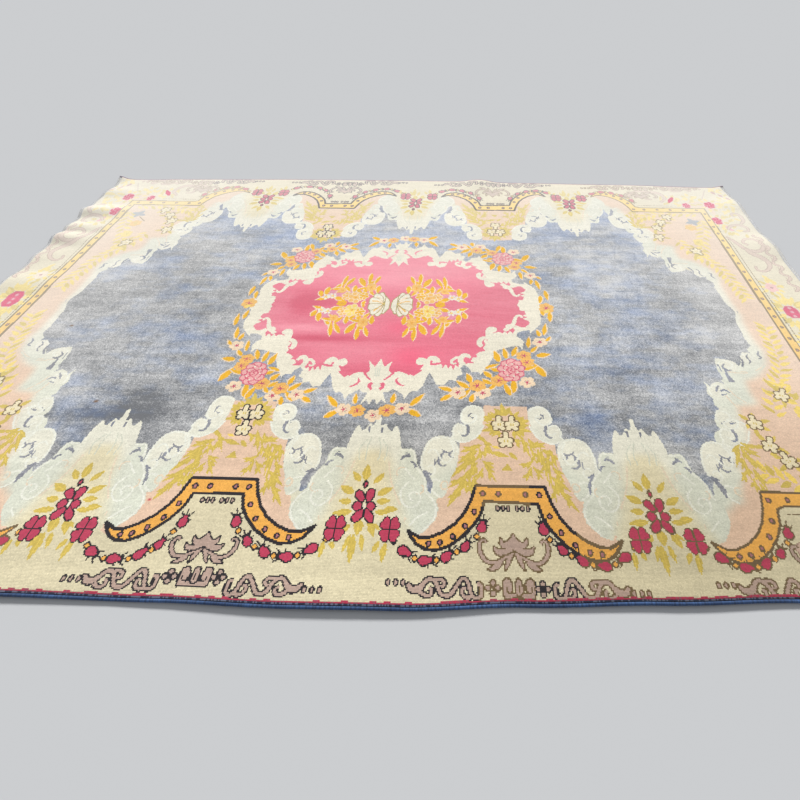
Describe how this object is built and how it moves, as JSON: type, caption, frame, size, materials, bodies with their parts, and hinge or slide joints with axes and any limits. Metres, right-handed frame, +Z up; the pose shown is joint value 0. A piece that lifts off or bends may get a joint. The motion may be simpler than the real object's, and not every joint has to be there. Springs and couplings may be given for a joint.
{
  "type": "turkish rug",
  "caption": "Hand-knotted wool pile rug lying flat, with rose medallion, scroll field and border, plain woven ends and overcast side cords.",
  "frame": {"origin": "middle of the underside's box, on the surface that the rug lies on", "axes": "+X along the rug's length, +Y from the near long side to the far one, +Z up"},
  "size_m": [2.9398, 1.999, 0.0227],
  "materials": {
    "rug_wool": "knotted wool pile, patterned, matte, with uneven dye bands and light wear",
    "cord_wool": "wool yarn wrapped round one strand, matte"
  },
  "bodies": {
    "root": {"rug": "rug_wool", "side_cord_near": "cord_wool", "side_cord_far": "cord_wool"}
  },
  "joints": []
}
